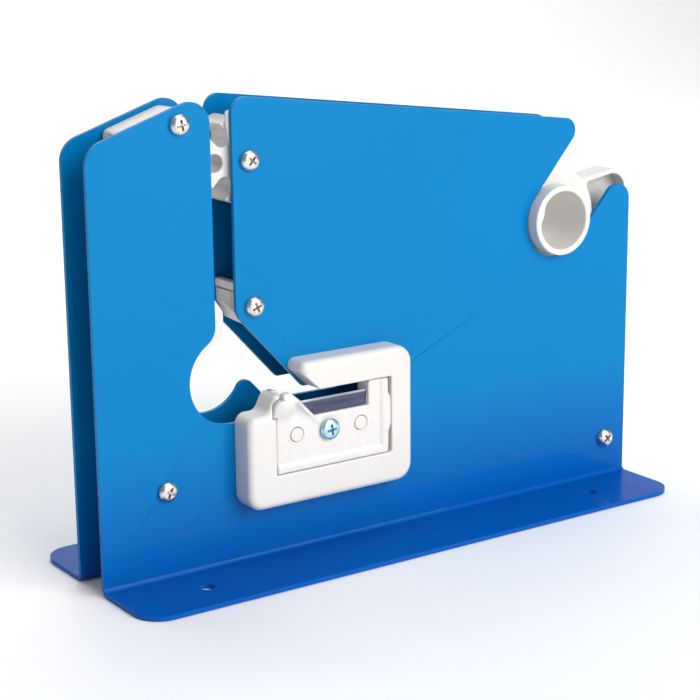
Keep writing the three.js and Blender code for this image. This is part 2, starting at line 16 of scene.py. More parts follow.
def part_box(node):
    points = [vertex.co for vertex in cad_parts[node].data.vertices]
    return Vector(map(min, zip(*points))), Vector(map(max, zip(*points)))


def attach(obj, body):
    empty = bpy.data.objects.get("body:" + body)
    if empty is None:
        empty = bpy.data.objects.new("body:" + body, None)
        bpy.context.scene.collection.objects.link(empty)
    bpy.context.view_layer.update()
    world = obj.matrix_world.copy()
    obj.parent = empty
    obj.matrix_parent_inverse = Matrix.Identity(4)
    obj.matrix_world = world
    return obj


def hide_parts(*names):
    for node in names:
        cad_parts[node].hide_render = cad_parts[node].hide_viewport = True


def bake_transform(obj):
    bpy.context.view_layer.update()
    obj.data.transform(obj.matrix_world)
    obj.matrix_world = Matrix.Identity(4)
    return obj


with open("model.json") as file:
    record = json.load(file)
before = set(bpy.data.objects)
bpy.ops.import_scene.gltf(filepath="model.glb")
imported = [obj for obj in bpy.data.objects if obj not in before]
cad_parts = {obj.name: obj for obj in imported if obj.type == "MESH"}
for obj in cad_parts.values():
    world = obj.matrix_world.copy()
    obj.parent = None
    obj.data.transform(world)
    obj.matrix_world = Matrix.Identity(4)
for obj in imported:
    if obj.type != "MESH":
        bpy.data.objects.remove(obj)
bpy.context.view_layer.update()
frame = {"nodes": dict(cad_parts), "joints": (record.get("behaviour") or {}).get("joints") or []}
nodes = frame["nodes"]
MM = 0.001


def add_object(name, data):
    piece = bpy.data.objects.new(name, data)
    bpy.context.scene.collection.objects.link(piece)
    return piece


# ---- camera ----
def add_camera(position, azimuth, elevation, roll, lens):
    data = bpy.data.cameras.new("camera")
    data.sensor_width = 36.0
    data.lens = lens
    data.clip_start = 0.01
    camera = add_object("camera", data)
    turn = (Matrix.Rotation(math.radians(azimuth), 4, "Z")
            @ Matrix.Rotation(math.radians(90.0 - elevation), 4, "X")
            @ Matrix.Rotation(math.radians(roll), 4, "Z"))
    camera.matrix_world = Matrix.Translation(position) @ turn
    bpy.context.scene.camera = camera


add_camera((-0.3462, -0.4909, 0.2085), azimuth=-34.381, elevation=13.771, roll=-0.62, lens=93.9)


# ---- places, from the frame ----
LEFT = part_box("front_plate")[0].x / MM           # the plates' left end
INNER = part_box("back_plate")[0].y / MM           # inner face of the back plate
SHEET = 1.5                                      # thickness of the plates
OUTER = INNER + SHEET


def axis_of(joint_name):
    """A hinge's axis, as x from the plates' left end and z, in millimetres."""
    joint = next(j for j in frame["joints"] if j["name"] == joint_name)
    x, _, z = joint["pos_m"]
    return Vector((x / MM - LEFT, z / MM))


ARM_PIVOT = axis_of("arm_pivot")
WHEEL_AXIS = axis_of("wheel_spin")
KNIFE_PIVOT = axis_of("knife_pivot")
HUB_AXIS = axis_of("core_spin")


def centre_of(node):
    """The middle of a CAD node's box, as x from the plates' left end and z, in millimetres."""
    low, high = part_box(node)
    middle = (low + high) / 2 / MM
    return Vector((middle.x - LEFT, middle.z))


def place(x, y, z):
    return Vector((LEFT + x, y, z)) * MM


# ---- outlines ----
def rounded(corners, step=6.0):
    """Points of a closed outline. A corner is (x, z) or (x, z, radius)."""
    points = []
    count = len(corners)
    for i, corner in enumerate(corners):
        here = Vector(corner[:2])
        radius = corner[2] if len(corner) > 2 else 0.0
        if radius == 0.0:
            points.append(here)
            continue
        before = (Vector(corners[i - 1][:2]) - here).normalized()
        after = (Vector(corners[(i + 1) % count][:2]) - here).normalized()
        half = before.angle(after) / 2
        reach = radius / math.tan(half)
        centre = here + (before + after).normalized() * radius / math.sin(half)
        first = here + before * reach - centre
        last = here + after * reach - centre
        start = math.atan2(first.y, first.x)
        sweep = math.atan2(last.y, last.x) - start
        sweep = (sweep + math.pi) % (2 * math.pi) - math.pi
        parts = max(2, math.ceil(abs(math.degrees(sweep)) / step))
        for k in range(parts + 1):
            angle = start + sweep * k / parts
            points.append(centre + Vector((math.cos(angle), math.sin(angle))) * radius)
    return points


def circle(centre, radius, count=72):
    turns = (2 * math.pi * i / count for i in range(count))
    return [centre + Vector((math.cos(t), math.sin(t))) * radius for t in turns]


def resampled(points, longest):
    """The same closed outline with no edge longer than the given length."""
    result = []
    for i, here in enumerate(points):
        after = points[(i + 1) % len(points)]
        parts = max(1, math.ceil((after - here).length / longest))
        result += [here.lerp(after, k / parts) for k in range(parts)]
    return result


# ---- meshes ----
def link(name, bm, material):
    bmesh.ops.recalc_face_normals(bm, faces=bm.faces)
    mesh = bpy.data.meshes.new(name)
    bm.to_mesh(mesh)
    bm.free()
    if material:
        mesh.materials.append(material)
    return add_object(name, mesh)


def slab(name, outline, y_from, y_to, material=None):
    """An outline in the XZ plane, between two depths."""
    bm = bmesh.new()
    front = [bm.verts.new(place(p.x, y_from, p.y)) for p in outline]
    back = [bm.verts.new(place(p.x, y_to, p.y)) for p in outline]
    bm.faces.new(front)
    bm.faces.new(back[::-1])
    for i in range(len(outline)):
        k = (i + 1) % len(outline)
        bm.faces.new((front[i], back[i], back[k], front[k]))
    return link(name, bm, material)


def rod(radius, centre, y_from, y_to, count=72):
    """A plain cylinder along Y, used to cut a hole or to add a peg."""
    return slab("rod", circle(centre, radius, count), y_from, y_to)


def block(low, high):
    """A plain box between two corners, used only as a cutting tool."""
    outline = [Vector((low[0], low[2])), Vector((high[0], low[2])),
               Vector((high[0], high[2])), Vector((low[0], high[2]))]
    return slab("block", outline, low[1], high[1])


def turned(name, profile, centre, material, count=64, inset=None):
    """A body turned about an axis along Y; the profile holds (y, radius) and closes on itself.

    inset(angle, radius), where given, moves the ring's points towards the axis.
    """
    bm = bmesh.new()
    rings = []
    for y, radius in profile:
        if radius < 1e-6:
            rings.append([bm.verts.new(place(centre.x, y, centre.y))])
        else:
            ring = circle(Vector((0.0, 0.0)), radius, count)
            if inset:
                ring = [p * (1 - inset(math.atan2(p.y, p.x), radius) / radius) for p in ring]
            rings.append([bm.verts.new(place(centre.x + p.x, y, centre.y + p.y)) for p in ring])
    for a, b in zip(rings, rings[1:] + rings[:1]):
        if len(a) == 1 and len(b) == 1:
            continue
        for i in range(count):
            k = (i + 1) % count
            if len(a) == 1:
                bm.faces.new((a[0], b[i], b[k]))
            elif len(b) == 1:
                bm.faces.new((a[i], b[0], a[k]))
            else:
                bm.faces.new((a[i], b[i], b[k], a[k]))
    return link(name, bm, material)


def hull(name, corners):
    """The convex body round some points (x, y, z)."""
    bm = bmesh.new()
    for corner in corners:
        bm.verts.new(place(*corner))
    bmesh.ops.convex_hull(bm, input=bm.verts)
    return link(name, bm, None)


def final_mesh(piece):
    """The mesh that a piece's modifiers, or a curve's bevel, lead to."""
    bpy.context.view_layer.update()
    graph = bpy.context.evaluated_depsgraph_get()
    return bpy.data.meshes.new_from_object(piece.evaluated_get(graph))


def combined(piece, operation, tools):
    """Cuts the tools from a piece or joins them to it, one by one, and removes them."""
    for tool in tools:
        modifier = piece.modifiers.new("join", "BOOLEAN")
        modifier.operation = operation
        modifier.solver = "EXACT"
        modifier.object = tool
        mesh = final_mesh(piece)
        piece.modifiers.clear()
        piece.data = mesh
        bpy.data.objects.remove(tool)


def cut(piece, *tools):
    combined(piece, "DIFFERENCE", tools)


def joined(piece, *tools):
    combined(piece, "UNION", tools)


# ---- edges and shading ----
ROUNDED_ANGLE = math.radians(32)
FLAT_ANGLE = math.radians(0.4)


def crisp(piece, degrees):
    """Smooth shading that breaks at edges sharper than the given angle."""
    piece.data.shade_smooth()
    piece.data.set_sharp_from_angle(angle=math.radians(degrees))


def softened(piece, width, segments=3, dissolve=False):
    """Rounds the piece's edges by a width in millimetres and smooths its shading.

    dissolve first merges the faces that lie in one plane.
    """
    piece.data.shade_smooth()
    if dissolve:
        flat = piece.modifiers.new("flat", "DECIMATE")
        flat.decimate_type = "DISSOLVE"
        flat.angle_limit = FLAT_ANGLE
    edge = piece.modifiers.new("edge", "BEVEL")
    edge.width = width * MM
    edge.segments = segments
    edge.limit_method = "ANGLE"
    edge.angle_limit = ROUNDED_ANGLE
    edge.use_clamp_overlap = False
    edge.miter_outer = "MITER_ARC"
    normals = piece.modifiers.new("normals", "WEIGHTED_NORMAL")
    normals.weight = 90


def softened_by_depth(piece, width_at, largest, segments):
    """Rounds each sharp edge by its own width: width_at(y) in millimetres."""
    mesh = piece.data
    bm = bmesh.new()
    bm.from_mesh(mesh)
    bmesh.ops.dissolve_limit(bm, angle_limit=math.radians(0.5), verts=bm.verts, edges=bm.edges)
    weight = bm.edges.layers.float.new("bevel_weight_edge")
    for edge in bm.edges:
        if len(edge.link_faces) != 2 or edge.calc_face_angle() < math.radians(30):
            continue
        middle = (edge.verts[0].co + edge.verts[1].co) / 2 / MM
        edge[weight] = width_at(middle.y) / largest
    bm.to_mesh(mesh)
    bm.free()
    mesh.shade_smooth()
    bevel = piece.modifiers.new("edge", "BEVEL")
    bevel.width = largest * MM
    bevel.segments = segments
    bevel.limit_method = "WEIGHT"
    bevel.use_clamp_overlap = False
    normals = piece.modifiers.new("normals", "WEIGHTED_NORMAL")
    normals.weight = 90


def wire(name, points, radius, material):
    """A round wire through points in the frame's metres, as a closed mesh."""
    curve = bpy.data.curves.new(name, "CURVE")
    curve.dimensions = "3D"
    curve.bevel_depth = radius * MM
    curve.bevel_resolution = 3
    curve.use_fill_caps = True
    spline = curve.splines.new("POLY")
    spline.points.add(len(points) - 1)
    for target, point in zip(spline.points, points):
        target.co = (*point, 1.0)
    piece = add_object(name, curve)
    mesh = final_mesh(piece)
    bpy.data.objects.remove(piece)
    mesh.materials.clear()
    mesh.materials.append(material)
    mesh.shade_smooth()
    return add_object(name, mesh)


def stands_for(piece, body, material_slot, *cad_nodes):
    """Says which body a piece moves with, and the CAD nodes that it replaces."""
    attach(piece, body)
    if cad_nodes:
        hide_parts(*cad_nodes)


# ---- materials ----
class Shader:
    """A Principled material with a few procedural nodes wired to it."""

    def __init__(self, name, **sockets):
        self.material = bpy.data.materials.new(name)
        self.material.use_nodes = True
        self.tree = self.material.node_tree
        self.main = self.tree.nodes["Principled BSDF"]
        self.place = self.add("ShaderNodeTexCoord").outputs["Object"]
        for socket, value in sockets.items():
            self.main.inputs[socket.replace("_", " ")].default_value = value

    def add(self, kind, **values):
        node = self.tree.nodes.new(kind)
        for name, value in values.items():
            setattr(node, name, value)
        return node

    def join(self, output, target):
        self.tree.links.new(output, target)

    def noise(self, scale, detail=4.0, stretch=(1.0, 1.0, 1.0)):
        mapping = self.add("ShaderNodeMapping")
        mapping.inputs["Scale"].default_value = stretch
        self.join(self.place, mapping.inputs["Vector"])
        noise = self.add("ShaderNodeTexNoise")
        noise.inputs["Scale"].default_value = scale
        noise.inputs["Detail"].default_value = detail
        noise.inputs["Roughness"].default_value = 0.55
        self.join(mapping.outputs["Vector"], noise.inputs["Vector"])
        return noise.outputs["Fac"]

    def ramp(self, value, stops):
        """A colour for a value; each stop is (position, colour)."""
        ramp = self.add("ShaderNodeValToRGB")
        elements = ramp.color_ramp.elements
        while len(elements) < len(stops):
            elements.new(0.5)
        for element, (at, colour) in zip(elements, stops):
            element.position = at
            element.color = (*colour, 1.0)
        self.join(value, ramp.inputs["Fac"])
        return ramp.outputs["Color"]

    def spread(self, value, low, high, from_low=0.3, from_high=0.7):
        """Maps a value, by default the usual range of a noise, to low..high."""
        node = self.add("ShaderNodeMapRange")
        for name, number in (("From Min", from_low), ("From Max", from_high),
                             ("To Min", low), ("To Max", high)):
            node.inputs[name].default_value = number
        self.join(value, node.inputs["Value"])
        return node.outputs["Result"]

    def mixed(self, factor, first, second):
        node = self.add("ShaderNodeMix", data_type="RGBA")
        self.join(factor, node.inputs["Factor"])
        self.join(first, node.inputs["A"])
        self.join(second, node.inputs["B"])
        return node.outputs["Result"]

    def colour(self, output):
        self.join(output, self.main.inputs["Base Color"])

    def roughness(self, output):
        self.join(output, self.main.inputs["Roughness"])

    def bump(self, value, distance, below=None):
        """Relief in the shading, its depth in millimetres, on top of the one below."""
        node = self.add("ShaderNodeBump")
        node.inputs["Distance"].default_value = distance * MM
        node.inputs["Strength"].default_value = 1.0
        self.join(value, node.inputs["Height"])
        if below:
            self.join(below, node.inputs["Normal"])
        self.join(node.outputs["Normal"], self.main.inputs["Normal"])
        return node.outputs["Normal"]


def enamel_paint():
    """Blue stove enamel with a soft gloss, faintly clouded, with painted shade that darkens it over its
    lowest 45 mm.
    """
    shader = Shader("blue_enamel", IOR=1.45, Specular_IOR_Level=0.06,
                    Coat_Weight=0.12, Coat_Roughness=0.05)
    cloud = shader.noise(11.0, detail=3.0)
    # thin: the clouded blue above 45 mm, where no shade is painted
    thin = shader.ramp(cloud, [(0.30, (0.000, 0.186, 0.462)), (0.70, (0.000, 0.198, 0.486))])
    # thick: painted shade, a darker blue standing in for the dimmer light low on the plates and on their
    # flanges, not a thicker coat of enamel
    thick = shader.ramp(cloud, [(0.30, (0.000, 0.088, 0.400)), (0.70, (0.000, 0.095, 0.425))])
    height = shader.add("ShaderNodeSeparateXYZ")
    shader.join(shader.place, height.inputs["Vector"])
    # painted shade: the darker blue at the bench fades out by 45 mm up
    shader.colour(shader.mixed(shader.spread(height.outputs["Z"], 0.0, 1.0, 0.0, 0.045), thick, thin))
    shader.roughness(shader.spread(shader.noise(60.0), 0.26, 0.36))
    shader.bump(shader.noise(260.0, detail=1.0), 0.004)
    return shader.material


def moulded_plastic(name, warm, cool, gloss=0.32):
    """White injection moulding: slightly cloudy colour, satin skin, soft light in the body."""
    shader = Shader(name, IOR=1.46, Subsurface_Weight=0.12, Subsurface_Scale=0.0012,
                    Coat_Weight=0.25, Coat_Roughness=0.18)
    shader.main.inputs["Subsurface Radius"].default_value = (1.0, 0.7, 0.5)
    cloud = shader.noise(45.0, detail=4.0)
    shader.colour(shader.ramp(cloud, [(0.30, warm), (0.72, cool)]))
    shader.roughness(shader.spread(shader.noise(220.0), gloss - 0.05, gloss + 0.07))
    flow = shader.bump(shader.noise(120.0, detail=2.0), 0.010)
    shader.bump(shader.noise(3200.0, detail=2.0), 0.0022, below=flow)
    return shader.material


def plated_steel(name, light, dark, rough=0.2):
    """Bright zinc plate: cloudy passivation and fine turning marks."""
    shader = Shader(name, Metallic=1.0, IOR=2.0)
    cloud = shader.noise(420.0, detail=4.0)
    shader.colour(shader.ramp(cloud, [(0.32, dark), (0.66, light)]))
    shader.roughness(shader.spread(shader.noise(900.0), rough, rough + 0.14))
    shader.bump(shader.noise(1500.0, detail=3.0), 0.006)
    return shader.material


def blade_steel():
    """Ground razor steel: grey with fine lengthways grinding lines and a bright cutting edge."""
    shader = Shader("razor_steel", Metallic=1.0, Anisotropic=0.5)
    lines = shader.noise(900.0, detail=5.0, stretch=(0.05, 1.0, 1.0))
    body = shader.ramp(lines, [(0.32, (0.068, 0.074, 0.118)), (0.68, (0.128, 0.136, 0.198))])
    edge = shader.ramp(lines, [(0.32, (0.30, 0.29, 0.34)), (0.68, (0.52, 0.51, 0.56))])
    height = shader.add("ShaderNodeSeparateXYZ")
    shader.join(shader.place, height.inputs["Vector"])
    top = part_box("trimmer_blade")[1].z
    near_edge = shader.spread(height.outputs["Z"], 0.0, 1.0, top - 0.75 * MM, top - 0.6 * MM)
    shader.colour(shader.mixed(near_edge, body, edge))
    shader.roughness(shader.spread(lines, 0.28, 0.42))
    shader.bump(lines, 0.004)
    return shader.material


def spring_wire_steel():
    """Dull drawn wire."""
    shader = Shader("drawn_wire", Metallic=1.0)
    lines = shader.noise(1100.0, detail=4.0)
    shader.colour(shader.ramp(lines, [(0.3, (0.30, 0.30, 0.31)), (0.7, (0.55, 0.55, 0.56))]))
    shader.roughness(shader.spread(lines, 0.22, 0.38))
    shader.bump(lines, 0.004)
    return shader.material


enamel = enamel_paint()
white = moulded_plastic("white_moulding", (0.715, 0.685, 0.650), (0.735, 0.713, 0.685))
panel_white = moulded_plastic("insert_moulding", (0.72, 0.69, 0.665), (0.74, 0.715, 0.69), gloss=0.26)
zinc = plated_steel("zinc_plate", (0.86, 0.83, 0.80), (0.62, 0.55, 0.50))
cyan_zinc = plated_steel("blue_zinc_plate", (0.62, 0.85, 0.93), (0.38, 0.66, 0.80), rough=0.24)
razor = blade_steel()
spring_steel = spring_wire_steel()


# ---- CAD nodes that are shown as they are ----
def dress(node, material, width=0.0, segments=2):
    """Puts a material on a CAD node; its edges are rounded by the width, or stay crisp at 0."""
    piece = nodes[node]
    piece.data.materials.clear()
    piece.data.materials.append(material)
    for polygon in piece.data.polygons:
        polygon.material_index = 0
    if width:
        softened(piece, width, segments, dissolve=True)
        piece.modifiers["edge"].harden_normals = True
        piece.modifiers.remove(piece.modifiers["normals"])
    else:
        crisp(piece, 15)


dress("front_plate", enamel, 0.32, segments=3)
dress("back_plate", enamel, 0.32, segments=3)
dress("tape_knife", razor)
dress("trimmer_blade", razor)
dress("trimmer_nut", zinc, 0.25)


# ---- posts, pins and screws ----
POST_BORE = 1.85
POST_CHAMFER = 0.35


def depths_of(node):
    """The front and back of a CAD node, in millimetres."""
    low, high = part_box(node)
    return low.y / MM, high.y / MM


def post(node, outer):
    """A hollow turned post between the plates, its outer edges chamfered in two steps."""
    front, back = depths_of(node)
    part = POST_CHAMFER * 0.3
    profile = [
        (front, POST_BORE), (front, outer - POST_CHAMFER), (front + part, outer - part),
        (front + POST_CHAMFER, outer), (back - POST_CHAMFER, outer),
        (back - part, outer - part), (back, outer - POST_CHAMFER), (back, POST_BORE)]
    piece = turned(f"{node}_turned", profile, centre_of(node), zinc)
    crisp(piece, 35)
    stands_for(piece, "base", "zinc", node)


for node_name in ("arm_post", "wheel_post", "knife_post"):
    post(node_name, 3.0)
for node_name in ("spacer_left", "spacer_right"):
    post(node_name, 4.0)


def cross_tool(head, height):
    """A tapered cross, point down, that cuts the recess of a cross-head screw."""
    bm = bmesh.new()
    long, thick = head * 0.56, head * 0.125
    quarter_outline = [(thick, thick), (long, thick), (long, -thick)]
    rings = []
    for y, scale in ((height + 0.4, 1.06), (height - head * 0.34, 0.62), (height - head * 0.62, 0.22)):
        ring = []
        for quarter in range(4):
            turn = Matrix.Rotation(-quarter * math.pi / 2, 2)
            for x, z in quarter_outline:
                p = turn @ Vector((x * scale, z * (0.6 + 0.4 * scale)))
                ring.append(bm.verts.new(Vector((p.x, y, p.y)) * MM))
        rings.append(ring)
    for a, b in zip(rings, rings[1:]):
        for i in range(len(a)):
            k = (i + 1) % len(a)
            bm.faces.new((a[i], b[i], b[k], a[k]))
    bm.faces.new(rings[0])
    bm.faces.new(rings[-1][::-1])
    return link("cross", bm, None)


def pan_head(name, head, height, shank, length, material):
    """A pan head screw at the frame's origin, its head towards +Y."""
    profile = [(-length, 0.0), (-length, shank * 0.7), (-length + shank * 0.5, shank), (-0.02, shank)]
    profile += [(0.0, shank), (0.0, head * 0.97), (height * 0.12, head)]
    for i in range(1, 10):
        angle = i / 9 * math.pi / 2
        profile.append((height * (0.22 + 0.78 * math.sin(angle)), head * (0.42 + 0.58 * math.cos(angle))))
    profile.append((height, 0.0))
    origin = Vector((-LEFT, 0.0))
    screw = turned(name, profile, origin, material, count=56)
    cut(screw, cross_tool(head, height))
    crisp(screw, 38)
    return screw


def placed_screw(template, node, at, y, facing, turn):
    """A copy of a screw with its bearing face at y, its head facing -1 (front) or +1 (back)."""
    mesh = template.data.copy()
    spin = Matrix.Rotation(math.radians(turn), 4, "Y")
    face = Matrix.Rotation(0.0 if facing > 0 else math.pi, 4, "X")
    mesh.transform(Matrix.Translation(place(at.x, y, at.y)) @ face @ spin)
    stands_for(add_object(f"{node}_steel", mesh), "base", "zinc", node)


SEAT = 0.02                                      # the gap under a screw's head
plate_screw = pan_head("pan_head_template", 3.4, 2.3, 1.72, 6.5, zinc)
SCREW_TURNS = {"arm": 12, "wheel": 50, "knife": 24, "left": 66, "right": 38}
for index, (which, turn) in enumerate(SCREW_TURNS.items()):
    node_name = f"screw_front_{which}"
    placed_screw(plate_screw, node_name, centre_of(node_name), -OUTER - SEAT, -1, turn)
    node_name = f"screw_back_{which}"
    placed_screw(plate_screw, node_name, centre_of(node_name), OUTER + SEAT, 1, 20 + 31 * index)
bpy.data.objects.remove(plate_screw)

fixing_screw = pan_head("fixing_template", 2.7, 1.7, 1.22, 7.2, zinc)
for side, turn in (("left", 15), ("right", 70)):
    node_name = f"trimmer_fixing_screw_{side}"
    placed_screw(fixing_screw, node_name, centre_of(node_name), -INNER + SEAT, 1, turn)
bpy.data.objects.remove(fixing_screw)


# ---- springs ----
def on_circle(centre, radius, angle, y):
    """A point on a circle about an axis along Y, in the frame's metres."""
    return place(centre.x + radius * math.cos(angle), y, centre.y + radius * math.sin(angle))


def presser_spring():
    """A close-wound extension spring with a hook at each end."""
    pin = centre_of("spring_pin")
    anchor = centre_of("spacer_left")
    down = (anchor - pin).normalized()
    side = Vector((down.y, -down.x))
    heading = math.atan2(down.y, down.x)
    coil_radius, wire_radius = 2.2, 0.35
    length = 62.0
    start = 0.48 * (anchor - pin).length - length / 2
    points = [on_circle(pin, 1.45, heading - 2.3 - 3.2 * i / 12, 0.0) for i in range(13)]
    for distance in (4.0, 9.0, 16.0):
        spot = pin + down * distance
        points.append(place(spot.x, 0.0, spot.y))
    turns = round(length / (2 * wire_radius + 0.04))
    steps = turns * 12
    for i in range(steps + 1):
        angle = 2 * math.pi * turns * i / steps
        grow = min(1.0, i / 10, (steps - i) / 10)
        spot = pin + down * (start + length * i / steps) + side * (coil_radius * grow * math.cos(angle))
        points.append(place(spot.x, coil_radius * grow * math.sin(angle), spot.y))
    for distance in (87.0, 94.0, 99.5):
        spot = pin + down * distance
        points.append(place(spot.x, 0.0, spot.y))
    points += [on_circle(anchor, 4.6, heading + math.pi + 0.6 + 4.6 * i / 20, 0.0) for i in range(21)]
    spring = wire("presser_spring_wire", points, wire_radius, spring_steel)
    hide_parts("presser_spring")
    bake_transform(spring)


def knife_spring():
    """A torsion spring behind the knife holder: one leg under it, one in the back plate."""
    coil_radius, wire_radius, turns, pitch, front = 3.4, 0.3, 2.75, 1.15, 2.3
    points = [place(KNIFE_PIVOT.x + reach, front, KNIFE_PIVOT.y - coil_radius) for reach in (8, 5, 2)]
    steps = 60
    for i in range(steps + 1):
        angle = -math.pi / 2 - 2 * math.pi * turns * i / steps
        points.append(on_circle(KNIFE_PIVOT, coil_radius, angle, front + turns * pitch * i / steps))
    x = KNIFE_PIVOT.x + coil_radius
    tail = [(5.6, 82.6), (5.62, 81.4), (5.7, 80.6), (5.88, 79.9), (6.2, 79.52), (6.7, 79.4), (8.35, 79.4)]
    points += [place(x, y, z) for y, z in tail]
    spring = wire("knife_spring_wire", points, wire_radius, spring_steel)
    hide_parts("knife_spring")
    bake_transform(spring)


def spring_pin():
    """The pin across the presser arm that its spring hooks on to."""
    front, back = depths_of("spring_pin")
    radius, chamfer = 0.9, 0.25
    profile = [(front, 0.0), (front, 0.65), (front + chamfer, radius),
               (back - chamfer, radius), (back, 0.65), (back, 0.0)]
    pin = turned("spring_pin_turned", profile, centre_of("spring_pin"), zinc, count=32)
    crisp(pin, 35)
    stands_for(pin, "arm", "zinc", "spring_pin")


presser_spring()
knife_spring()
spring_pin()


# ---- presser arm ----
MOULDING_HALF = 6.8                              # half the arm's and the knife holder's depth
PIVOT_BORE = 3.15                                # their holes, round the 6 mm posts


def presser_arm():
    """A bell crank: a short arm to the left for its spring, and a long one down to its foot."""
    def top(x):
        return 137.8 + 0.335 * x

    outline = rounded([
        (13.6, top(13.6), 2.4),
        (14.0, top(14.0) - 5.6, 2.4),
        (23.5, top(23.5) - 6.6, 6),
        (28.4, 133.0, 7),
        (33.6, 88.0, 12),
        (32.2, 71.6, 2.2),
        (38.6, 71.0, 3.0),
        (46.6, 77.2, 4.2),
        (46.6, 84.2, 4.2),
        (41.0, 92.2, 6),
        (41.0, 143.0, 9),
        (34.6, top(34.6), 5),
    ], step=5.0)
    pin = centre_of("spring_pin")
    arm = slab("presser_arm_moulding", outline, -MOULDING_HALF, MOULDING_HALF, white)
    cut(arm,
        rod(PIVOT_BORE, ARM_PIVOT, -8, 8),
        block((13, -1.7, 134), (pin.x + 3.2, 1.7, pin.y + 2.1)),
        rod(0.95, pin, -8, 8, 32))
    softened(arm, 0.6, segments=4, dissolve=True)
    stands_for(arm, "arm", "white_plastic", "presser_arm")


presser_arm()


# ---- star wheel and its guides ----
def star_wheel():
    """A wheel with eight round-bottomed pockets and short lands between them."""
    tip, pocket_at, pocket, count, half = 14.2, 10.5, 2.8, 8, 5.9
    half_mouth = math.asin(pocket / tip)
    mouth = tip * math.cos(half_mouth)
    outline = []
    for i in range(count):
        angle = math.radians(182.5) + i * 2 * math.pi / count
        turn = Matrix.Rotation(angle, 2)
        outline.append(WHEEL_AXIS + turn @ Vector((mouth, -pocket)))
        for k in range(19):
            round_pocket = -math.pi / 2 - math.pi * k / 18
            spot = Vector((pocket_at + pocket * math.cos(round_pocket), pocket * math.sin(round_pocket)))
            outline.append(WHEEL_AXIS + turn @ spot)
        outline.append(WHEEL_AXIS + turn @ Vector((mouth, pocket)))
        width = 2 * math.pi / count - 2 * half_mouth
        for k in range(1, 4):
            rim = angle + half_mouth + width * k / 4
            outline.append(WHEEL_AXIS + Vector((math.cos(rim), math.sin(rim))) * tip)
    wheel = slab("star_wheel_moulding", outline, -half, half, white)
    cut(wheel, rod(3.25, WHEEL_AXIS, -8, 8))
    softened(wheel, 0.45, segments=4)
    stands_for(wheel, "wheel", "white_plastic", "star_wheel")


def wheel_guide(node, has_finger):
    """A thin washer against a plate; the front one has a finger beside the slot."""
    front, back = depths_of(node)
    finger = rounded([
        (WHEEL_AXIS.x - 4.2, WHEEL_AXIS.y, 0.5),
        (WHEEL_AXIS.x + 4.2, WHEEL_AXIS.y, 0.5),
        (54.2, 141.5, 5),
        (51.6, 147.0, 1.0),
        (49.1, 147.0, 1.0),
        (49.1, 142.4, 3),
    ])
    guide = slab(f"{node}_moulding", circle(WHEEL_AXIS, 5.2), front, back, white)
    if has_finger:
        joined(guide, slab("finger", finger, front + 0.15, back - 0.15))
    cut(guide, rod(2.0, WHEEL_AXIS, front - 1, back + 1))
    softened(guide, 0.07, segments=2, dissolve=True)
    stands_for(guide, "base", "white_plastic", node)


star_wheel()
wheel_guide("wheel_guide_front", has_finger=True)
wheel_guide("wheel_guide_back", has_finger=False)


# ---- knife holder ----
def turn_under(y):
    """The height at which the holder's left face turns under: lower towards the front."""
    return 83.65 + 0.2132 * y


def knife_holder():
    """A wedge with a slot for the knife on top and a hollow grip in its left end."""
    outline = rounded([
        (51.6, 92.4, 0.6),
        (51.6, 89.95, 0.3),
        (51.9, 89.95),
        (51.9, 82.0, 0.3),
        (53.2, 79.4, 0.8),
        (60.0, 79.2, 4),
        (67.6, 82.0, 2.5),
        (67.6, 85.7, 1.5),
        (54.2, 92.4, 1.5),
    ], step=8.0)

    def underside(y):
        z = turn_under(y)
        return [(50.45, y, z + 3.0), (54.8, y, z - 6.0), (50.45, y, z - 6.0)]

    def grip(y, deep):
        low = turn_under(y) + 1.0
        return [(50.0, y, low - 1.9), (51.9, y, low), (deep, y, low + 1.2),
                (deep, y, 89.0), (50.0, y, 89.0)]

    coil_pocket = rod(3.95, KNIFE_PIVOT, 1.6, 9)
    leg_room = [block((56.6, 1.6, 74.0), (61.5, 9, 85.5)), block((56.6, 1.6, 74.0), (66.0, 9, 81.8))]
    knife_slot = block((50.0, -6.1, 89.2), (57.6, 6.1, 89.8))
    holder = slab("knife_holder_moulding", outline, -MOULDING_HALF, MOULDING_HALF, white)
    cut(holder,
        hull("underside", underside(-7.25) + underside(7.25)),
        hull("grip_rear", grip(5.9, 51.95) + grip(-1.4, 52.5)),
        hull("grip_front", grip(-1.2, 52.3) + grip(-6.0, 54.6)),
        rod(PIVOT_BORE, KNIFE_PIVOT, -8, 8), coil_pocket, *leg_room, knife_slot)
    crisp(holder, 25)
    stands_for(holder, "knife", "white_plastic", "knife_holder")


knife_holder()


# ---- tape core holder ----
TUBE = {"radius": 12.4, "bore": 10.2, "half": 13.2, "collar": 18.5}
COLLAR = (-INNER + 0.3, -INNER + 1.8)


def bore_key(angle, radius):
    """The soft rib inside the tube, level with its axis on the left."""
    if radius > TUBE["bore"]:
        return 0.0
    away = (angle - math.radians(165) + math.pi) % (2 * math.pi) - math.pi
    return 1.05 * math.exp(-((away / math.radians(15)) ** 2))


def hub_tube():
    """The tube that carries the tape core, with a collar and a groove for its clip."""
    radius, bore, half, collar = TUBE["radius"], TUBE["bore"], TUBE["half"], TUBE["collar"]
    tube = turned("hub_tube_moulding", [
        (-half, bore), (-half, radius), (COLLAR[0], radius), (COLLAR[0], collar),
        (COLLAR[1], collar), (COLLAR[1], radius), (5.55, radius), (5.55, 11.4),
        (6.75, 11.4), (6.75, radius), (half, radius), (half, bore)], HUB_AXIS, white, 120, bore_key)
    softened_by_depth(tube, lambda y: 0.55 if abs(y) > half - 0.5 else 0.25, largest=0.55, segments=4)
    stands_for(tube, "hub", "white_plastic", "hub_tube")


